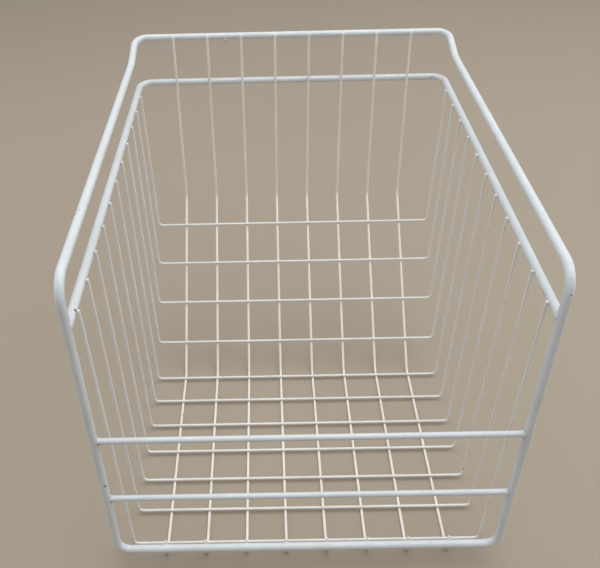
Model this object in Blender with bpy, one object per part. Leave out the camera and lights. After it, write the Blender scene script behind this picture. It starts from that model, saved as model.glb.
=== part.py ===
"""Wire produce basket: a pull-out storage basket of welded, coated steel wire.

Units are metres and +Z is up. The origin is the middle of the surface the basket rests on.
+Y points to the back and -Y to the open front, +X to the right.
"""
import math

import bpy
from mathutils import Vector

# Wire radii, coating included, out to the edges of each prism
FRAME_R = 0.00345
RIM_R = 0.00335
BAR_R = 0.0025
THIN_R = 0.00128
GAP = 0.0003                     # clearance kept where two wires are welded

# Each wire is a prism, turned so that one side faces straight down where something rests
THIN_TILT = math.pi / 8          # the thin wires have eight sides
FRAME_TILT = math.pi / 10        # the outer frame has ten
THIN_FLAT = THIN_R * math.cos(THIN_TILT)

# Heights above the lowest wires' centres, and depths behind the front legs' centres
BASE_Z = THIN_FLAT               # lifts those centres so that the wires' undersides are at zero
RAIL_Z = 0.301
BACK_BAR_Z = 0.3125
RIM_Z = 0.266
UPPER_BAR_Z = 0.1545
LOWER_BAR_Z = 0.086
BOTTOM_BAR_Z = 0.016
BACK_BAR_Y = 0.396
RIM_BACK_Y = 0.3927

# Outer frame
FRAME_WIDTH = 0.320              # between the centres of the two side rails
RAIL_FRONT_R = 0.017
BOTTOM_CORNER_R = 0.0115
BACK_CORNER_R = 0.0125
KINK_Y = 0.354                   # the rails bend up here towards the raised back bar
KINK_R = 0.060

# Rim
RIM_WIDTH = 0.3185
RIM_CORNER_R = 0.014

# Long wires
LONG_COUNT = 8
LONG_PITCH = 0.0345
TIP_TOP_Z = 0.0194
TIP_BEND_R = 0.0028
RAMP_FOOT_Y = 0.2258
RAMP_HEAD_Y = 0.3787
RAMP_HEAD_Z = 0.133
RAMP_BEND_R = 0.010
LONG_TOP_Z = BACK_BAR_Z + 0.0030

# Cross wires
CROSS_COUNT = 11
CROSS_PITCH = 0.0337
CROSS_FRONT_Y = 0.0143
CROSS_BASE_WIDTH = 0.300         # between the two walls where they would meet the base
CROSS_CORNER_R = 0.0045
CROSS_TOP_Z = RIM_Z + 0.0028

# The model is drawn from the front legs back, then moved so that its middle is at the origin
CENTRE_Y = BACK_BAR_Y / 2

WHITE_COAT = (0.86, 0.87, 0.85)
IVORY_COAT = (0.85, 0.84, 0.78)


def clear_scene():
    for obj in list(bpy.data.objects):
        bpy.data.objects.remove(obj, do_unlink=True)


def coat_material(name, colour, roughness):
    """Smooth coating of one wire."""
    material = bpy.data.materials.new(name)
    material.use_nodes = True
    shader = material.node_tree.nodes["Principled BSDF"]
    shader.inputs["Base Color"].default_value = (*colour, 1.0)
    shader.inputs["Roughness"].default_value = roughness
    shader.inputs["Metallic"].default_value = 0.0
    return material


def bend_points(before, corner, after, radius):
    """Points of the arc that rounds one corner of a bent wire."""
    to_before = (before - corner).normalized()
    to_after = (after - corner).normalized()
    half = to_before.angle(to_after) / 2
    turn = math.pi - 2 * half
    start = corner + to_before * (radius / math.tan(half))
    centre = corner + (to_before + to_after).normalized() * (radius / math.sin(half))
    axis = to_after.cross(to_before).normalized()
    arm = start - centre
    side = axis.cross(arm)
    steps = max(2, math.ceil(turn / math.radians(15)))
    angles = [turn * i / steps for i in range(steps + 1)]
    return [centre + arm * math.cos(a) + side * math.sin(a) for a in angles]


def bent_path(corners, closed=False):
    """Turn (point, bend radius) pairs into the points of a bent wire."""
    places = [Vector(point) for point, _ in corners]
    count = len(places)
    points = []
    for i, (_, radius) in enumerate(corners):
        inner = closed or 0 < i < count - 1
        if radius and inner:
            points += bend_points(places[i - 1], places[i], places[(i + 1) % count], radius)
        else:
            points.append(places[i])
    return points


def add_wire(name, path, radius, colour, closed=False, sides_step=3, tilt=0.0):
    """One wire as a curve object with a round bevel and filled ends."""
    curve = bpy.data.curves.new(name, "CURVE")
    curve.dimensions = "3D"
    curve.bevel_depth = radius
    curve.bevel_resolution = sides_step
    curve.use_fill_caps = True
    spline = curve.splines.new("POLY")
    spline.points.add(len(path) - 1)
    for point, place in zip(spline.points, path):
        point.co = (place.x, place.y - CENTRE_Y, place.z + BASE_Z, 1.0)
        point.tilt = tilt
    spline.use_cyclic_u = closed
    spline.use_smooth = True
    wire = bpy.data.objects.new(name, curve)
    curve.materials.append(coat_material(name + "_coat", colour, 0.35))
    basket.objects.link(wire)
    return wire


def rail_side(x):
    """Corners of one side of the outer frame, from the bottom bar to the back bar."""
    return [
        ((x, 0, BOTTOM_BAR_Z), BOTTOM_CORNER_R),
        ((x, 0, RAIL_Z), RAIL_FRONT_R),
        ((x, KINK_Y, RAIL_Z), KINK_R),
        ((x, BACK_BAR_Y, BACK_BAR_Z), BACK_CORNER_R),
    ]


def add_outer_frame():
    half = FRAME_WIDTH / 2
    corners = rail_side(-half) + rail_side(half)[::-1]
    path = bent_path(corners, closed=True)
    add_wire("outer_frame", path, FRAME_R, WHITE_COAT, closed=True, tilt=FRAME_TILT)


def add_rim():
    half = RIM_WIDTH / 2
    front = FRAME_R + GAP
    corners = [
        ((-half, front, RIM_Z), 0),
        ((-half, RIM_BACK_Y, RIM_Z), RIM_CORNER_R),
        ((half, RIM_BACK_Y, RIM_Z), RIM_CORNER_R),
        ((half, front, RIM_Z), 0),
    ]
    add_wire("rim_wire", bent_path(corners), RIM_R, WHITE_COAT)


def add_front_bar(name, height):
    """A straight bar between the inner sides of the two legs."""
    reach = FRAME_WIDTH / 2 - FRAME_R - GAP
    path = [Vector((-reach, 0, height)), Vector((reach, 0, height))]
    add_wire(name, path, BAR_R, WHITE_COAT, sides_step=2)


def add_long_wire(name, x):
    """One wire from the tip behind the bottom bar, along the base, up the ramp and the back."""
    tip_y = FRAME_R + GAP + THIN_R
    top_y = BACK_BAR_Y - FRAME_R - GAP - THIN_R
    corners = [
        ((x, tip_y, TIP_TOP_Z), 0),
        ((x, tip_y, 0), TIP_BEND_R),
        ((x, RAMP_FOOT_Y, 0), RAMP_BEND_R),
        ((x, RAMP_HEAD_Y, RAMP_HEAD_Z), RAMP_BEND_R),
        ((x, top_y, LONG_TOP_Z), 0),
    ]
    add_wire(name, bent_path(corners), THIN_R, IVORY_COAT, sides_step=2, tilt=THIN_TILT)


def cross_height(y):
    """Height of a cross wire that rests on the long wires at depth y."""
    rest = 2 * THIN_FLAT + GAP
    slope = math.atan2(RAMP_HEAD_Z, RAMP_HEAD_Y - RAMP_FOOT_Y)
    on_ramp = (y - RAMP_FOOT_Y) * math.tan(slope) + rest / math.cos(slope)
    return max(rest, on_ramp)


def add_cross_wire(name, y):
    """One U: down from the rim, across on top of the long wires, and up to the rim."""
    bottom_z = cross_height(y)
    rim_x = RIM_WIDTH / 2 - RIM_R - GAP - THIN_R
    foot_x = CROSS_BASE_WIDTH / 2
    lean = (rim_x - foot_x) / RIM_Z
    top_x = foot_x + lean * CROSS_TOP_Z
    bottom_x = foot_x + lean * bottom_z
    corners = [
        ((-top_x, y, CROSS_TOP_Z), 0),
        ((-bottom_x, y, bottom_z), CROSS_CORNER_R),
        ((bottom_x, y, bottom_z), CROSS_CORNER_R),
        ((top_x, y, CROSS_TOP_Z), 0),
    ]
    add_wire(name, bent_path(corners), THIN_R, IVORY_COAT, sides_step=2, tilt=THIN_TILT)


clear_scene()
basket = bpy.data.collections.new("wire_produce_basket")
bpy.context.scene.collection.children.link(basket)

add_outer_frame()
add_rim()
add_front_bar("front_bar_upper", UPPER_BAR_Z)
add_front_bar("front_bar_lower", LOWER_BAR_Z)
for i in range(CROSS_COUNT):
    add_cross_wire(f"cross_wire_{i + 1:02d}", CROSS_FRONT_Y + i * CROSS_PITCH)
for i in range(LONG_COUNT):
    add_long_wire(f"long_wire_{i + 1}", (i - (LONG_COUNT - 1) / 2) * LONG_PITCH)
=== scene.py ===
"""Looks of the wire produce basket: round welded wires under a smooth white coating.

Every CAD wire is replaced by a finer one along the same centreline. Where two wires are welded,
the coating runs from one to the other in a fillet, and cut wire ends are domed by it.
"""
import math
from collections import namedtuple

import bpy
import numpy as np
from mathutils import Matrix, Vector


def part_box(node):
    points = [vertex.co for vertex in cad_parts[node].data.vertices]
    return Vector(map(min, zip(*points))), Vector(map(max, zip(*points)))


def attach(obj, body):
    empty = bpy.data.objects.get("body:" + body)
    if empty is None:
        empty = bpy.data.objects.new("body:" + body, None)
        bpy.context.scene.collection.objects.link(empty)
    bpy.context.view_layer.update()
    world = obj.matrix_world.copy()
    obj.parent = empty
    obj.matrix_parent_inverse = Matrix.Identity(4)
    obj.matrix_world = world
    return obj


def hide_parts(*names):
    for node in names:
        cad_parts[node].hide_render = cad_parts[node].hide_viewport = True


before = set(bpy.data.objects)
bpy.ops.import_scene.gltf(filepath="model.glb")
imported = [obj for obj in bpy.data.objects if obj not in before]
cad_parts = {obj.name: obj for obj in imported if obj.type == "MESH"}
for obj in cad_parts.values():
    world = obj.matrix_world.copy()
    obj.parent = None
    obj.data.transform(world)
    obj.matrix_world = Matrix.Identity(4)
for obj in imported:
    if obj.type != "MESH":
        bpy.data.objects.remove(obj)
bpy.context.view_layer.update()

MM = 0.001

# The CAD wires are prisms; a round wire of the same girth lies between their edges and sides
FRAME_SIDES = 10
THIN_SIDES = 8
FRAME_CORNER = 3.45 * MM         # from the outer frame's centre to the prism's edges
RIM_CORNER = 3.35 * MM
THIN_CORNER = 1.28 * MM


def round_radius(corner, sides):
    """Radius of the round wire that a prism stands for."""
    return corner * (1 + math.cos(math.pi / sides)) / 2


FRAME_R = round_radius(FRAME_CORNER, FRAME_SIDES)
RIM_R = round_radius(RIM_CORNER, FRAME_SIDES)
THIN_R = round_radius(THIN_CORNER, THIN_SIDES)

# Bends and lengths
RAIL_DROP = 11.5 * MM            # the side rails run this far below the raised back bar
RAIL_FRONT_BEND = 17 * MM
BOTTOM_CORNER_BEND = 11.5 * MM
BACK_CORNER_BEND = 12.5 * MM
KINK_FROM_BACK = 42 * MM         # where the rails start to rise towards the back bar
KINK_BEND = 60 * MM
RIM_CORNER_BEND = 14 * MM
RIM_PAST_LEG = 1.5 * MM          # the rim's ends run this far in front of the legs' centres
WALL_LEAN = 0.0162               # sideways travel of a side wire for each metre of height
CROSS_CORNER_BEND = 4.5 * MM
TIP_HEIGHT = 19.4 * MM           # top of the turned-up front ends over the lowest centres
TIP_BEND = 2.8 * MM
RAMP_FOOT = 220.8 * MM           # from the turned-up ends back to the foot of the ramp
RAMP_HEAD = 12.3 * MM            # from the top of the long wires forward to the ramp's head
RAMP_RISE = 133 * MM
RAMP_BEND = 10 * MM

# How finely a wire is drawn
ARC_STEP = math.radians(4)
LONGEST_STEP = 9 * MM
WELD_STEP = 0.25 * MM
TANGENT_STEP = 0.15 * MM
THIN_COUNT = 28                  # points round a thin wire
THICK_COUNT = 40                 # and round the others

# The dome of coating over a cut end
DOME_RINGS = 7
DOME_SQUASH = 0.82               # its height for each unit of the wire's radius

# How the coating fills a weld
SEARCH_STEP = 0.5 * MM
WELD_REACH = 1.2 * MM            # wires this close to touching are welded
WELD_MARGIN = 0.8 * MM           # rings are close together this far past a fillet
MARCH_STEP = 0.04 * MM
MARCH_END = 1.6                  # the walk outwards ends a radius and this many blends off the wire
SKIN = 0.03 * MM                 # a fillet ends this far under the other wire's surface
THIN_FILL = 1.3 * MM             # over how wide a gap the coating blends
THICK_FILL = 2.2 * MM
FLANK = math.radians(58)         # the points of a ring crowd on both sides of a weld, this far round
FLANK_SPREAD = math.radians(24)
EVEN_DENSITY = 0.55              # how close the points are away from there
CROWD_DENSITY = 1.6              # and how much closer they get there
CROWD_FADE = 0.35                # the crowding fades out over this part of a weld's span

# A run of coating that set as a drop under the back bar
DRIP_SIDE = -67.6 * MM
DRIP_OUT = Vector((0, -0.56, -0.83))
DRIP_REACH = 1.2 * MM
DRIP_HEIGHT = 2.6 * MM

Wire = namedtuple("Wire", "name points closed radius count fill domes")
Weld = namedtuple("Weld", "at touch span other")


# ---------------------------------------------------------------- centrelines

def bend_points(before, corner, after, radius):
    """Points of the arc that rounds one corner of a bent wire."""
    to_before = (before - corner).normalized()
    to_after = (after - corner).normalized()
    half = to_before.angle(to_after) / 2
    turn = math.pi - 2 * half
    start = corner + to_before * (radius / math.tan(half))
    centre = corner + (to_before + to_after).normalized() * (radius / math.sin(half))
    axis = to_after.cross(to_before).normalized()
    arm = start - centre
    side = axis.cross(arm)
    steps = max(3, math.ceil(turn / ARC_STEP))
    angles = [turn * i / steps for i in range(steps + 1)]
    return [centre + arm * math.cos(a) + side * math.sin(a) for a in angles]


def bent_path(corners, closed=False):
    """Turn (point, bend radius) pairs into the points of a bent wire."""
    places = [Vector(point) for point, _ in corners]
    count = len(places)
    points = []
    for i, (_, radius) in enumerate(corners):
        inner = closed or 0 < i < count - 1
        if radius and inner:
            points += bend_points(places[i - 1], places[i], places[(i + 1) % count], radius)
        else:
            points.append(places[i])
    if closed:
        points.append(points[0])
    return np.array(points)


def frame_path():
    """Outer frame: bottom bar, legs, side rails and raised back bar in one closed loop."""
    low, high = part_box("outer_frame")
    x = high.x - FRAME_CORNER
    front = low.y + FRAME_R
    back = high.y - FRAME_R
    bottom = low.z + FRAME_R
    top = high.z - FRAME_R
    rail = top - RAIL_DROP
    side = [
        ((x, front, bottom), BOTTOM_CORNER_BEND),
        ((x, front, rail), RAIL_FRONT_BEND),
        ((x, back - KINK_FROM_BACK, rail), KINK_BEND),
        ((x, back, top), BACK_CORNER_BEND),
    ]
    other = [((-px, py, pz), bend) for (px, py, pz), bend in side]
    path = bent_path(other + side[::-1], closed=True)
    return Wire("outer_frame", path, True, FRAME_R, THICK_COUNT, THICK_FILL, False)


def rim_path(leg_y):
    """Rim: a U inside the rails, whose front ends run into the legs."""
    low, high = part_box("rim_wire")
    front = leg_y - RIM_PAST_LEG
    x = high.x - RIM_CORNER
    back = high.y - RIM_R
    z = (low.z + high.z) / 2
    corners = [
        ((-x, front, z), 0),
        ((-x, back, z), RIM_CORNER_BEND),
        ((x, back, z), RIM_CORNER_BEND),
        ((x, front, z), 0),
    ]
    return Wire("rim_wire", bent_path(corners), False, RIM_R, THICK_COUNT, THICK_FILL, True)


def bar_path(name, leg_x):
    """A straight front bar between the centres of the two legs."""
    low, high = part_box(name)
    middle = (low + high) / 2
    ends = [(-leg_x, middle.y, middle.z), (leg_x, middle.y, middle.z)]
    radius = round_radius((high.z - low.z) / 2, THIN_SIDES)
    return Wire(name, np.array(ends), False, radius, THICK_COUNT, THICK_FILL, True)


def long_path(name):
    """A front-to-back wire: turned-up tip, base, ramp and back."""
    low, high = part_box(name)
    x = (low.x + high.x) / 2
    tip = low.y + THIN_R
    top = high.y - THIN_R
    z = low.z + THIN_R
    corners = [
        ((x, tip, z + TIP_HEIGHT), 0),
        ((x, tip, z), TIP_BEND),
        ((x, tip + RAMP_FOOT, z), RAMP_BEND),
        ((x, top - RAMP_HEAD, z + RAMP_RISE), RAMP_BEND),
        ((x, top, high.z), 0),
    ]
    return Wire(name, bent_path(corners), False, THIN_R, THIN_COUNT, THIN_FILL, True)


def cross_path(name):
    """A side-to-side wire: down from the rim, across the base and up to the rim."""
    low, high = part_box(name)
    y = (low.y + high.y) / 2
    z = low.z + THIN_R
    top_x = high.x - THIN_R
    foot_x = top_x - WALL_LEAN * (high.z - z)
    corners = [
        ((-top_x, y, high.z), 0),
        ((-foot_x, y, z), CROSS_CORNER_BEND),
        ((foot_x, y, z), CROSS_CORNER_BEND),
        ((top_x, y, high.z), 0),
    ]
    return Wire(name, bent_path(corners), False, THIN_R, THIN_COUNT, THIN_FILL, True)


# ---------------------------------------------------------------- walking along a wire

def path_lengths(points):
    """Distance along a centreline at each of its points."""
    steps = np.linalg.norm(np.diff(points, axis=0), axis=1)
    return np.concatenate([[0], np.cumsum(steps)])


def place_at(wire, s):
    """Centreline points at distances s along the wire."""
    lengths = path_lengths(wire.points)
    s = s % lengths[-1] if wire.closed else np.clip(s, 0, lengths[-1])
    return np.stack([np.interp(s, lengths, wire.points[:, k]) for k in range(3)], axis=-1)


def distance_to(points, path):
    """Distance from each point to a centreline given as a polyline."""
    best = np.full(points.shape[:-1], np.inf)
    for a, b in zip(path[:-1], path[1:]):
        along = b - a
        share = np.clip((points - a) @ along / (along @ along), 0, 1)
        near = a + share[..., None] * along
        best = np.minimum(best, np.linalg.norm(points - near, axis=-1))
    return best


def nearest_on(point, path):
    """The point of a centreline that is nearest to one point."""
    best = None
    for a, b in zip(path[:-1], path[1:]):
        along = b - a
        share = np.clip((point - a) @ along / (along @ along), 0, 1)
        near = a + share * along
        if best is None or np.linalg.norm(point - near) < np.linalg.norm(point - best):
            best = near
    return best


def stretch_near(path, point, reach):
    """The stretch of a centreline that comes within reach of a point."""
    middles = (path[:-1] + path[1:]) / 2
    halves = np.linalg.norm(path[1:] - path[:-1], axis=1) / 2
    near = np.nonzero(np.linalg.norm(middles - point, axis=1) < halves + reach)[0]
    return path[near[0]:near[-1] + 2]


def find_welds(wire, neighbours):
    """Every place where the wire nearly touches a neighbour."""
    s = np.arange(0, path_lengths(wire.points)[-1] + SEARCH_STEP, SEARCH_STEP)
    welds = []
    for other in neighbours:
        gap = distance_to(place_at(wire, s), other.points) - wire.radius - other.radius
        gap = np.concatenate([[np.inf], gap, [np.inf]])
        lowest = (gap[1:-1] < WELD_REACH) & (gap[1:-1] <= gap[:-2]) & (gap[1:-1] < gap[2:])
        span = other.radius + wire.fill + WELD_MARGIN
        for at in s[lowest]:
            centre = place_at(wire, np.array([at]))[0]
            welds.append(Weld(at, nearest_on(centre, other.points), span, other))
    return welds


def stations(wire, spots):
    """Distances along the wire at which it gets a ring: bends, straights, and close at each spot."""
    lengths = path_lengths(wire.points)
    s = [lengths[0]]
    for a, b in zip(lengths[:-1], lengths[1:]):
        parts = max(1, math.ceil((b - a) / LONGEST_STEP))
        s += list(a + (b - a) * np.arange(1, parts + 1) / parts)
    s = np.array(s)
    for at, reach in spots:
        s = s[np.abs(s - at) > reach]
        s = np.concatenate([s, np.arange(at - reach, at + reach, WELD_STEP)])
    s = np.sort(s[(s >= 0) & (s <= lengths[-1])])
    s = np.concatenate([[0], s[(s > WELD_STEP) & (s < lengths[-1] - WELD_STEP)], [lengths[-1]]])
    s = s[np.concatenate([[True], np.diff(s) > WELD_STEP / 3])]
    s[-1] = lengths[-1]
    return s[:-1] if wire.closed else s


def ring_frames(wire, s):
    """Centre, tangent and two cross directions at each station, carried along without twist."""
    centres = place_at(wire, s)
    tangents = place_at(wire, s + TANGENT_STEP) - place_at(wire, s - TANGENT_STEP)
    tangents /= np.linalg.norm(tangents, axis=1)[:, None]
    start = np.array([0.0, 0.0, 1.0]) if abs(tangents[0][2]) < 0.7 else np.array([0.0, 1.0, 0.0])
    normal = start - tangents[0] * (start @ tangents[0])
    normals = []
    for t in tangents:
        normal = normal - t * (normal @ t)
        normal /= np.linalg.norm(normal)
        normals.append(normal)
    normals = np.array(normals)
    sides = np.cross(tangents, normals)
    if wire.closed:
        normals, sides = close_loop(tangents, normals, sides)
    return centres, tangents, normals, sides


def close_loop(tangents, normals, sides):
    """Share out what a closed loop's cross directions turn by, so that the last ring meets the first."""
    last = normals[-1] - tangents[0] * (normals[-1] @ tangents[0])
    twist = math.atan2(last @ sides[0], last @ normals[0])
    turn = -twist * np.arange(len(tangents)) / len(tangents)
    cos, sin = np.cos(turn)[:, None], np.sin(turn)[:, None]
    return normals * cos + sides * sin, sides * cos - normals * sin


# ---------------------------------------------------------------- the coated surface

def smooth_union(a, b, blend):
    """Distance to two shapes joined by a fillet."""
    share = np.maximum(blend - np.abs(a - b), 0) / blend
    return np.minimum(a, b) - share * share * blend / 4


def flank_angles(offsets):
    """Crowd the points round a wire towards the two flanks of a weld."""
    table = np.linspace(0, math.pi, 181)
    density = EVEN_DENSITY + CROWD_DENSITY * np.exp(-(((table - FLANK) / FLANK_SPREAD) ** 2))
    total = np.concatenate([[0], np.cumsum((density[1:] + density[:-1]) / 2)])
    return np.sign(offsets) * np.interp(np.abs(offsets), total / total[-1] * math.pi, table)


def ring_rays(wire, s, centres, normals, sides, welds):
    """Start and direction of the ray to every ring point, crowded on the flanks of the welds."""
    angles = np.tile(np.arange(wire.count) * 2 * math.pi / wire.count, (len(s), 1))
    for weld in welds:
        rows = np.abs(s - weld.at) < weld.span
        if not rows.any():
            continue
        middle = int(np.argmin(np.abs(s - weld.at)))
        aim = weld.touch - centres[middle]
        facing = math.atan2(aim @ sides[middle], aim @ normals[middle])
        inward = (weld.span - np.abs(s[rows] - weld.at)) / (CROWD_FADE * weld.span)
        weight = np.clip(inward, 0, 1)
        weight = (weight * weight * (3 - 2 * weight))[:, None]
        offsets = (angles[rows] - facing + math.pi) % (2 * math.pi) - math.pi
        angles[rows] = facing + (1 - weight) * offsets + weight * flank_angles(offsets)
    cos, sin = np.cos(angles)[..., None], np.sin(angles)[..., None]
    rays = cos * normals[:, None] + sin * sides[:, None]
    return np.repeat(centres[:, None], wire.count, axis=1), rays


def dome_rings(wire, centre, axis, normal, side, ring):
    """Rings of the coated dome over a cut end, from the full radius towards the pole."""
    angles = np.arctan2(ring @ side, ring @ normal)
    out = np.cos(angles)[:, None] * normal + np.sin(angles)[:, None] * side
    starts, rays, plain = [], [], []
    for k in range(1, DOME_RINGS):
        lift = math.pi / 2 * k / DOME_RINGS
        flat = math.hypot(math.cos(lift), math.sin(lift) / DOME_SQUASH)
        starts.append(np.tile(centre, (wire.count, 1)))
        rays.append(math.cos(lift) * out + math.sin(lift) * axis)
        plain.append(np.full(wire.count, wire.radius / flat))
    return np.array(starts), np.array(rays), np.array(plain)


def walk_out(wire, weld, starts, rays, plain):
    """How far along each ray the coating of a wire and its weld reaches."""
    path = stretch_near(weld.other.points, weld.touch, 3 * weld.span)
    reach = wire.radius + wire.fill * MARCH_END
    best = plain.copy()
    last = np.full(len(plain), -1e-9)
    walking = np.arange(len(plain))
    for k in range(1, int(reach / MARCH_STEP)):
        t = plain[walking] + k * MARCH_STEP
        gap = distance_to(starts[walking] + rays[walking] * t[:, None], path) - weld.other.radius
        value = smooth_union(t - plain[walking], gap, wire.fill)
        inside = value <= 0
        sunk = gap < -SKIN
        share = np.clip(-last[walking] / np.maximum(value - last[walking], 1e-12), 0, 1)
        best[walking] = t - MARCH_STEP * np.where(inside, 0, 1 - share)
        last[walking] = value
        walking = walking[inside & ~sunk]
        if not len(walking):
            break
    return best


def coat(wire, starts, rays, plain, welds):
    """Distance of the coating along each ray, and how deep in the fillet of a weld it is."""
    radii = plain.copy()
    crevice = np.zeros(plain.shape)
    for weld in welds:
        reach = weld.span + weld.other.radius + wire.radius
        near = np.linalg.norm(starts - weld.touch, axis=-1) < reach
        if not near.any():
            continue
        best = walk_out(wire, weld, starts[near], rays[near], plain[near])
        radii[near] = np.maximum(radii[near], best)
        crevice[near] = np.maximum(crevice[near], (best - plain[near]) / wire.fill)
    return radii, np.clip(crevice, 0, 1)


def build_wire(wire, neighbours, drips):
    """Ring points of one coated wire, with fillets towards its neighbours and any drips on it."""
    welds = find_welds(wire, neighbours)
    spots = [(weld.at, weld.span) for weld in welds]
    length = path_lengths(wire.points)[-1]
    for drip in drips:
        walk = np.arange(0, length, WELD_STEP)
        at = walk[np.argmin(np.linalg.norm(place_at(wire, walk) - drip, axis=1))]
        spots.append((at, 3 * DRIP_REACH))
    s = stations(wire, spots)
    dome_height = wire.radius * DOME_SQUASH
    if wire.domes:
        room = dome_height + WELD_STEP / 2
        inner = s[(s > room) & (s < length - room)]
        s = np.concatenate([[dome_height], inner, [length - dome_height]])
    centres, tangents, normals, sides = ring_frames(wire, s)
    starts, rays = ring_rays(wire, s, centres, normals, sides, welds)
    rings = [starts, rays, np.full(starts.shape[:2], wire.radius)]
    poles = []
    if wire.domes:
        for end, sign in ((0, -1), (-1, 1)):
            axis = tangents[end] * sign
            dome = dome_rings(wire, centres[end], axis, normals[end], sides[end], rings[1][end])
            dome = [part[::sign] for part in dome]
            pairs = zip(dome, rings) if end == 0 else zip(rings, dome)
            rings = [np.concatenate(pair) for pair in pairs]
            poles.append(centres[end] + axis * dome_height)
    starts, rays, plain = rings
    radii, crevice = coat(wire, starts, rays, plain, welds)
    for drip in drips:
        away = np.linalg.norm(starts + rays * radii[..., None] - drip, axis=-1)
        radii += DRIP_HEIGHT * np.exp(-((away / DRIP_REACH) ** 2))
    return starts + rays * radii[..., None], crevice, poles


def ring_faces(rings, count, closed):
    """Four-sided faces between each ring and the next."""
    row = np.arange(rings if closed else rings - 1)[:, None] * count
    above = (row + count) % (rings * count)
    col = np.arange(count)
    beside = (col + 1) % count
    corners = [row + col, row + beside, above + beside, above + col]
    return np.stack(corners, axis=-1).reshape(-1, 4).tolist()


def add_mesh(wire, points, crevice, poles, material):
    """Join the rings into one closed mesh, and store where the coating fills a weld or a tip is."""
    rings, count = points.shape[:2]
    co = points.reshape(-1, 3)
    crevice = crevice.reshape(-1)
    tip = np.zeros(len(co))
    faces = ring_faces(rings, count, wire.closed)
    if poles:
        first, last = len(co), len(co) + 1
        end_ring = (rings - 1) * count
        for j in range(count):
            beside = (j + 1) % count
            faces.append([beside, j, first])
            faces.append([end_ring + j, end_ring + beside, last])
        co = np.concatenate([co, poles])
        crevice = np.concatenate([crevice, [0, 0]])
        tip = np.concatenate([tip, [1, 1]])
        for k in range(DOME_RINGS - 1):
            fade = 1 - (k + 1) / DOME_RINGS
            tip[k * count:(k + 1) * count] = fade
            tip[(rings - 1 - k) * count:(rings - k) * count] = fade
    mesh = bpy.data.meshes.new(wire.name)
    mesh.from_pydata(co.tolist(), [], faces)
    for label, values in (("crevice", crevice), ("tip", tip)):
        layer = mesh.attributes.new(label, "FLOAT", "POINT")
        layer.data.foreach_set("value", values.astype(np.float32))
    mesh.shade_smooth()
    mesh.update()
    mesh.materials.append(material)
    piece = bpy.data.objects.new("coated_" + wire.name, mesh)
    bpy.context.scene.collection.objects.link(piece)
    return piece


# ---------------------------------------------------------------- materials

def add_node(tree, kind, inputs=None, **settings):
    """A node with its settings, and with each input filled from a value or another node."""
    made = tree.nodes.new(kind)
    for key, value in settings.items():
        setattr(made, key, value)
    for key, value in (inputs or {}).items():
        if isinstance(value, bpy.types.NodeSocket):
            tree.links.new(value, made.inputs[key])
        else:
            made.inputs[key].default_value = value
    return made


def noise(tree, place, grain, detail=2.0):
    """Noise whose blotches are about grain metres across."""
    inputs = {"Vector": place, "Scale": 1 / grain, "Detail": detail}
    return add_node(tree, "ShaderNodeTexNoise", inputs).outputs["Fac"]


def ramp(tree, value, low, high, start=0.0, end=1.0):
    """Go smoothly from start to end while the value goes from low to high."""
    inputs = {"Value": value, "From Min": low, "From Max": high, "To Min": start, "To Max": end}
    made = add_node(tree, "ShaderNodeMapRange", inputs, interpolation_type="SMOOTHSTEP")
    return made.outputs["Result"]


def calc(tree, operation, first, second):
    """Arithmetic on two values."""
    made = add_node(tree, "ShaderNodeMath", {0: first, 1: second}, operation=operation)
    return made.outputs["Value"]


def paint(tree, share, under, over):
    """Lay one colour over another."""
    under, over = [c if isinstance(c, bpy.types.NodeSocket) else (*c, 1) for c in (under, over)]
    inputs = {0: share, 6: under, 7: over}
    return add_node(tree, "ShaderNodeMix", inputs, data_type="RGBA").outputs[2]


def stored(tree, label):
    """A value that the mesh keeps at each of its points."""
    return add_node(tree, "ShaderNodeAttribute", attribute_name=label).outputs["Fac"]


def object_place(tree):
    """The place on the object, in its own metres."""
    return add_node(tree, "ShaderNodeTexCoord").outputs["Object"]


def ragged(tree, place, grain, shift):
    """The place moved about a little, so that what is drawn from it gets ragged edges."""
    wobble = add_node(tree, "ShaderNodeTexNoise", {"Vector": place, "Scale": 1 / grain})
    even = add_node(tree, "ShaderNodeVectorMath",
                    {0: wobble.outputs["Color"], 1: (0.5, 0.5, 0.5)}, operation="SUBTRACT")
    moved = add_node(tree, "ShaderNodeVectorMath",
                     {0: even.outputs["Vector"], 1: (shift, shift, shift), 2: place},
                     operation="MULTIPLY_ADD")
    return moved.outputs["Vector"]


def near_any(tree, place, marks, inner, outer):
    """1 within inner times each mark's size of its centre, fading to 0 at outer times."""
    mask = None
    for centre, size in marks:
        away = add_node(tree, "ShaderNodeVectorMath", {0: place, 1: centre}, operation="DISTANCE")
        hit = ramp(tree, away.outputs["Value"], inner * size, outer * size, 1.0, 0.0)
        mask = hit if mask is None else calc(tree, "MAXIMUM", mask, hit)
    return mask


# What lies on the coating or shows through it, and the painted shade laid on in the welds, under the
# left ends of the front bars and on the drip
GRIME_AND_SHADE = (0.30, 0.24, 0.17)
RUST_AND_SHADE = (0.075, 0.036, 0.018)
RUST_STAIN_AND_SHADE = (0.55, 0.36, 0.20)
SCUFF_AND_SHADE = (0.36, 0.36, 0.36)
SPECK = (0.22, 0.18, 0.14)

# How large the blotches are that the coating and the floor are uneven by
TONE_GRAIN = 32 * MM
MOTTLE_GRAIN = 2.6 * MM
BLOTCH_GRAIN = 11 * MM
DIRT_AND_SHADE_GRAIN = 4 * MM
WEAR_GRAIN = 38 * MM
SPARSE_GRAIN = 20 * MM
SPECK_GRAIN = 0.9 * MM
TORN_GRAIN = 0.9 * MM
PEEL_GRAIN = 1.9 * MM
WAVE_GRAIN = 9 * MM
CLOUD_GRAIN = 420 * MM           # the floor's clouds
TOOTH_GRAIN = 2 * MM             # and its paint

TORN_SHIFT = 1.0 * MM            # how far the edges of the marks are moved about
RELIEF = 0.16 * MM               # height of the coating's unevenness
TOOTH = 0.05 * MM                # and of the floor paint's


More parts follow.
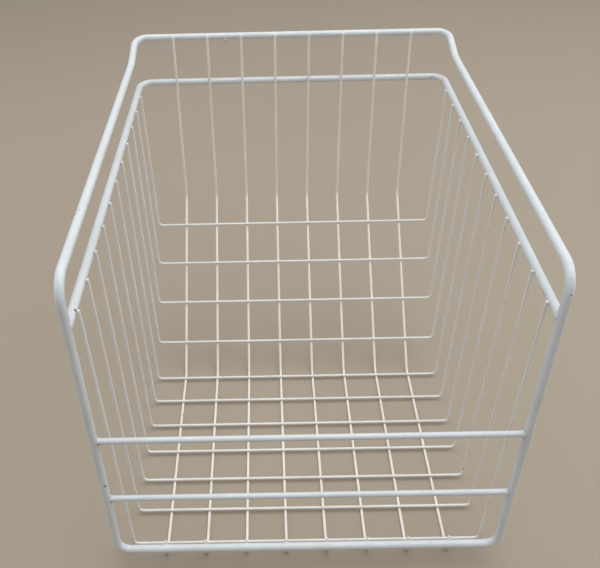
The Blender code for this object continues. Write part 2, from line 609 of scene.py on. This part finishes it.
def weathering(tree, place, mottle, blotch, grime_and_shade):
    """How much settled dust, dirt and painted shade in welds, wear at cut ends and dark specks there
    are.
    """
    normal = add_node(tree, "ShaderNodeNewGeometry").outputs["Normal"]
    upward = add_node(tree, "ShaderNodeSeparateXYZ", {0: normal}).outputs["Z"]
    settled = calc(tree, "MULTIPLY", ramp(tree, upward, 0.2, 1.0),
                   ramp(tree, blotch, 0.42, 0.66, 0.0, 0.45))

    # Dirt and painted shade in the welds' fillets, darker the deeper into a fillet
    fill = ramp(tree, stored(tree, "crevice"), 0.10, 0.70)
    patches = ramp(tree, noise(tree, place, DIRT_AND_SHADE_GRAIN), 0.32, 0.62, grime_and_shade / 5, grime_and_shade)
    dirt_and_shade = calc(tree, "MULTIPLY", fill, patches)

    edge = calc(tree, "ADD", stored(tree, "tip"), ramp(tree, mottle, 0.3, 0.7, -0.25, 0.25))
    some = ramp(tree, noise(tree, place, WEAR_GRAIN), 0.56, 0.66)
    worn = calc(tree, "MULTIPLY", ramp(tree, edge, 0.66, 0.94, 0.0, 0.45), some)

    sparse = ramp(tree, noise(tree, place, SPARSE_GRAIN), 0.50, 0.60)
    grains = ramp(tree, noise(tree, place, SPECK_GRAIN, 0.0), 0.77, 0.82, 0.0, 0.45)
    specks = calc(tree, "MULTIPLY", grains, sparse)
    return settled, dirt_and_shade, worn, specks


def coat_material(name, clean, shaded, dusty, grime_and_shade, chips_and_shade, scuffs_and_shade):
    """Smooth dipped coating with an uneven tone, weathering, chips down to rust, scuffs, and painted
    shade in welds and at some of the marks.

    The fifth argument is the most dirt and painted shade that a weld holds.
    """
    material = bpy.data.materials.new(name)
    material.use_nodes = True
    tree = material.node_tree
    shader = tree.nodes["Principled BSDF"]
    place = object_place(tree)

    tone = noise(tree, place, TONE_GRAIN, 3.0)
    mottle = noise(tree, place, MOTTLE_GRAIN, 4.0)
    blotch = noise(tree, place, BLOTCH_GRAIN)
    settled, dirt_and_shade, worn, specks = weathering(tree, place, mottle, blotch, grime_and_shade)
    colour = paint(tree, ramp(tree, tone, 0.38, 0.62), clean, shaded)
    colour = paint(tree, ramp(tree, mottle, 0.48, 0.72, 0.0, 0.30), colour, dusty)
    for share, over in ((settled, dusty), (dirt_and_shade, GRIME_AND_SHADE), (worn, RUST_STAIN_AND_SHADE), (specks, SPECK)):
        colour = paint(tree, share, colour, over)
    rougher = [(settled, 0.18), (dirt_and_shade, 0.30), (worn, 0.30)]
    pits = calc(tree, "MULTIPLY", specks, -0.3)

    torn = ragged(tree, place, TORN_GRAIN, TORN_SHIFT)
    if scuffs_and_shade:
        # Grey scuffs, and on the rails painted shade on the drip under the back bar
        scuffed_and_shaded = near_any(tree, torn, scuffs_and_shade, 0.6, 1.1)
        colour = paint(tree, calc(tree, "MULTIPLY", scuffed_and_shaded, 0.65), colour, SCUFF_AND_SHADE)
        rougher.append((scuffed_and_shaded, 0.20))
    if chips_and_shade:
        # Chips down to rust, and on the rails painted shade in the crevices under the front bars' left
        # ends
        stain_and_shade = near_any(tree, torn, chips_and_shade, 0.8, 1.9)
        colour = paint(tree, calc(tree, "MULTIPLY", stain_and_shade, 0.40), colour, RUST_STAIN_AND_SHADE)
        bare_and_shade = near_any(tree, torn, chips_and_shade, 0.60, 0.85)
        colour = paint(tree, bare_and_shade, colour, RUST_AND_SHADE)
        rougher.append((bare_and_shade, 0.40))
        pits = calc(tree, "ADD", pits, calc(tree, "MULTIPLY", bare_and_shade, 0.9))
    tree.links.new(colour, shader.inputs["Base Color"])

    rough = ramp(tree, blotch, 0.35, 0.68, 0.29, 0.43)
    for share, extra in rougher:
        rough = calc(tree, "ADD", rough, calc(tree, "MULTIPLY", share, extra))
    tree.links.new(rough, shader.inputs["Roughness"])

    peel = ramp(tree, noise(tree, place, PEEL_GRAIN, 1.0), 0.2, 0.8, 0.0, 0.28)
    waves = ramp(tree, noise(tree, place, WAVE_GRAIN, 1.0), 0.2, 0.8)
    relief = calc(tree, "SUBTRACT", calc(tree, "ADD", peel, waves), pits)
    bump = add_node(tree, "ShaderNodeBump", {"Height": relief, "Strength": 0.8, "Distance": RELIEF})
    tree.links.new(bump.outputs["Normal"], shader.inputs["Normal"])
    return material


def floor_material(colour, cloudy):
    """Plain matt paint with faint clouds and a fine tooth."""
    material = bpy.data.materials.new("floor_paint")
    material.use_nodes = True
    tree = material.node_tree
    shader = tree.nodes["Principled BSDF"]
    shader.inputs["Specular IOR Level"].default_value = 0.2
    place = object_place(tree)
    clouds = ramp(tree, noise(tree, place, CLOUD_GRAIN, 0.0), 0.25, 0.75)
    tree.links.new(paint(tree, clouds, colour, cloudy), shader.inputs["Base Color"])
    tree.links.new(ramp(tree, clouds, 0.0, 1.0, 0.82, 0.90), shader.inputs["Roughness"])
    grain = noise(tree, place, TOOTH_GRAIN, 3.0)
    bump = add_node(tree, "ShaderNodeBump", {"Height": grain, "Strength": 0.08, "Distance": TOOTH})
    tree.links.new(bump.outputs["Normal"], shader.inputs["Normal"])
    return material


# ---------------------------------------------------------------- the wires and their places

outer = frame_path()
leg_x = outer.points[:, 0].max()
leg_y = outer.points[:, 1].min()
rim = rim_path(leg_y)
bars = [bar_path(name, leg_x) for name in ("front_bar_upper", "front_bar_lower")]
longs = [long_path(name) for name in sorted(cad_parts) if name.startswith("long_wire")]
crosses = [cross_path(name) for name in sorted(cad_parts) if name.startswith("cross_wire")]

back_y = float(outer.points[:, 1].max())
back_z = float(outer.points[:, 2].max())
rail_z = back_z - RAIL_DROP
rim_x = float(rim.points[:, 0].max())
rim_z = float(rim.points[0, 2])
rim_back_y = float(rim.points[:, 1].max())
long_x = float(longs[0].points[0, 0])
wall_top_x, wall_y = crosses[2].points[-1, :2]
wall_x = float(wall_top_x) - WALL_LEAN * rim_z


# ---------------------------------------------------------------- marks on the coating

def on_wire(centre, outward, radius):
    """The point of a wire's surface that lies outward of a point on its centreline."""
    return tuple(Vector(centre) + Vector(outward).normalized() * radius)


def mark(centre, outward, radius, size):
    """The place and the size of a mark on a wire."""
    return on_wire(centre, outward, radius), size


# Knocks that go down to the steel, and painted shade, in the same rust colours, in the crevices under
# the left ends of the front bars
rail_chips_and_shade = [
    mark((-rim_x, leg_y + 14.9 * MM, rim_z), (0.84, 0, 0.55), RIM_R, 1.3 * MM),
    mark((leg_x, leg_y, rail_z - 10.4 * MM), (0.05, -1, 0), FRAME_R, 0.95 * MM),
    mark((leg_x, leg_y, rail_z - 13.8 * MM), (0.05, -1, 0), FRAME_R, 0.7 * MM),
    mark((-leg_x, leg_y, 106.2 * MM), (0.55, -0.83, 0), FRAME_R, 1.1 * MM),
]
# Painted shade in the crevice under each front bar's left end, where it meets the left leg
for bar in bars:
    foot = (-leg_x + FRAME_R + 0.9 * MM, leg_y, bar.points[0][2])
    rail_chips_and_shade.append(mark(foot, (0, -0.95, -0.3), bar.radius + 0.3 * MM, 1.0 * MM))
cross_chips = [mark((wall_x, wall_y, 14.1 * MM), (-0.5, -0.85, 0), THIN_R, 1.0 * MM)]

# Grey rubs on top of the coating: left rail, left and right rim, back bar, rim behind; and painted
# shade, in the same grey, on the drip under the back bar
rail_scuffs_and_shade = [
    mark((-leg_x, leg_y + 81 * MM, rail_z), (-0.15, 0, 0.99), FRAME_R, 1.3 * MM),
    mark((-leg_x, leg_y + 76.5 * MM, rail_z), (-0.35, 0, 0.94), FRAME_R, 1.1 * MM),
    mark((-rim_x, leg_y + 161.5 * MM, rim_z), (-0.54, 0, 0.84), RIM_R, 1.2 * MM),
    mark((rim_x, leg_y + 22.5 * MM, rim_z), (-0.95, 0, 0.3), RIM_R, 1.1 * MM),
    mark((rim_x, leg_y + 25.5 * MM, rim_z), (-0.99, 0, 0.13), RIM_R, 1.2 * MM),
    mark((rim_x, leg_y + 28.5 * MM, rim_z), (-0.99, 0, 0.1), RIM_R, 1.0 * MM),
    mark((22 * MM, back_y, back_z), (0, -0.99, 0.13), FRAME_R, 0.9 * MM),
    mark((34 * MM, back_y, back_z), (0, -0.9, 0.4), FRAME_R, 0.8 * MM),
    mark((46 * MM, back_y, back_z), (0, -1, 0), FRAME_R, 0.9 * MM),
    mark((-112 * MM, back_y, back_z), (0, -0.66, 0.75), FRAME_R, 0.8 * MM),
    mark((147 * MM, rim_back_y, rim_z), (0, -0.98, 0.22), RIM_R, 1.5 * MM),
    # Painted shade on the drip under the back bar, laid on as a grey scuff
    mark((DRIP_SIDE, back_y, back_z), DRIP_OUT, FRAME_R + DRIP_HEIGHT, 2.2 * MM),
]
long_scuffs = [mark((long_x, leg_y + 164.3 * MM, THIN_R), (0.5, 0, 0.85), THIN_R, 1.3 * MM)]
drip = np.array(on_wire((DRIP_SIDE, back_y, back_z), DRIP_OUT, FRAME_R))


# ---------------------------------------------------------------- build the basket

# The welds of each material hold their own amount of dirt and painted shade
rail_coat = coat_material("rail_coat", clean=(0.72, 0.77, 0.80), shaded=(0.685, 0.735, 0.765),
                          dusty=(0.67, 0.67, 0.645), grime_and_shade=0.50, chips_and_shade=rail_chips_and_shade, scuffs_and_shade=rail_scuffs_and_shade)
long_coat = coat_material("long_coat", clean=(0.88, 0.86, 0.82), shaded=(0.835, 0.81, 0.76),
                          dusty=(0.74, 0.68, 0.58), grime_and_shade=0.22, chips_and_shade=[], scuffs_and_shade=long_scuffs)
cross_coat = coat_material("cross_coat", clean=(0.855, 0.852, 0.832), shaded=(0.815, 0.805, 0.775),
                           dusty=(0.72, 0.68, 0.61), grime_and_shade=0.70, chips_and_shade=cross_chips, scuffs_and_shade=[])

# Each wire with the wires that its coating runs on to, its drips and its material
jobs = [(outer, [], [drip], rail_coat), (rim, [outer], [], rail_coat)]
jobs += [(bar, [outer], [], rail_coat) for bar in bars]
jobs += [(wire, [outer, rim], [], long_coat) for wire in longs]
jobs += [(wire, longs + [rim], [], cross_coat) for wire in crosses]
for wire, neighbours, drips, material in jobs:
    piece = add_mesh(wire, *build_wire(wire, neighbours, drips), material)
    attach(piece, "root")
    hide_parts(wire.name)


# ---------------------------------------------------------------- floor, light and camera

FLOOR_REACH = 3.0
FLOOR_COLOUR = (0.385, 0.325, 0.256)
FLOOR_CLOUDS = (0.379, 0.321, 0.252)
WARM_WHITE = (1.0, 0.99, 0.97)
COOL_WHITE = (0.93, 0.96, 1.0)
FILL_SIZE = (1.2, 1.4)
FILL_POWER = 9
SKY_STRENGTH = 0.33

floor_mesh = bpy.data.meshes.new("floor")
floor_corners = [(x * FLOOR_REACH, y * FLOOR_REACH, 0) for x, y in ((-1, -1), (1, -1), (1, 1), (-1, 1))]
floor_mesh.from_pydata(floor_corners, [], [(0, 1, 2, 3)])
floor_mesh.materials.append(floor_material(FLOOR_COLOUR, FLOOR_CLOUDS))
floor = bpy.data.objects.new("floor", floor_mesh)
bpy.context.scene.collection.objects.link(floor)


def add_light(name, place, aim, size, power, colour):
    """A soft rectangular light at a place, turned towards an aim."""
    light = bpy.data.lights.new(name, "AREA")
    light.shape = "RECTANGLE"
    light.size, light.size_y = size
    light.energy = power
    light.color = colour
    obj = bpy.data.objects.new(name, light)
    obj.location = place
    obj.rotation_euler = (Vector(aim) - Vector(place)).to_track_quat("-Z", "Y").to_euler()
    bpy.context.scene.collection.objects.link(obj)


add_light("key_overhead", (0.35, 0.05, 2.1), (0, 0.05, 0.15), (2.8, 2.4), 44, WARM_WHITE)
add_light("fill_left", (-1.9, 0.25, 0.8), (0, 0, 0.15), FILL_SIZE, FILL_POWER, COOL_WHITE)
add_light("fill_right", (1.9, 0.35, 0.8), (0, 0, 0.15), FILL_SIZE, FILL_POWER, COOL_WHITE)

world = bpy.data.worlds.new("studio")
bpy.context.scene.world = world
world.use_nodes = True
sky = world.node_tree.nodes["Background"]
sky.inputs["Color"].default_value = (*COOL_WHITE, 1)
sky.inputs["Strength"].default_value = SKY_STRENGTH

# The photograph's viewpoint: in front of the open end, looking down into the basket
CAMERA_PLACE = Vector((-0.02803, -0.56788, 0.58726))
CAMERA_YAW = -0.01023
CAMERA_PITCH = 0.65865           # below level, like the yaw and the roll in radians
CAMERA_ROLL = -0.02591
CAMERA_LENS = 45.37
CAMERA_SHIFT = (0.0617, -0.0028)

forward = Vector((math.sin(CAMERA_YAW) * math.cos(CAMERA_PITCH),
                  math.cos(CAMERA_YAW) * math.cos(CAMERA_PITCH), -math.sin(CAMERA_PITCH)))
level = Vector((math.cos(CAMERA_YAW), -math.sin(CAMERA_YAW), 0))
upright = level.cross(forward)
right = level * math.cos(CAMERA_ROLL) + upright * math.sin(CAMERA_ROLL)
up = upright * math.cos(CAMERA_ROLL) - level * math.sin(CAMERA_ROLL)
turned = Matrix((right, up, -forward)).transposed().to_4x4()
camera_data = bpy.data.cameras.new("photo_camera")
camera_data.sensor_width = 36
camera_data.lens = CAMERA_LENS
camera_data.shift_x, camera_data.shift_y = CAMERA_SHIFT
camera = bpy.data.objects.new("photo_camera", camera_data)
camera.matrix_world = Matrix.Translation(CAMERA_PLACE) @ turned
bpy.context.scene.collection.objects.link(camera)
bpy.context.scene.camera = camera
bpy.context.scene.view_settings.view_transform = "Standard"
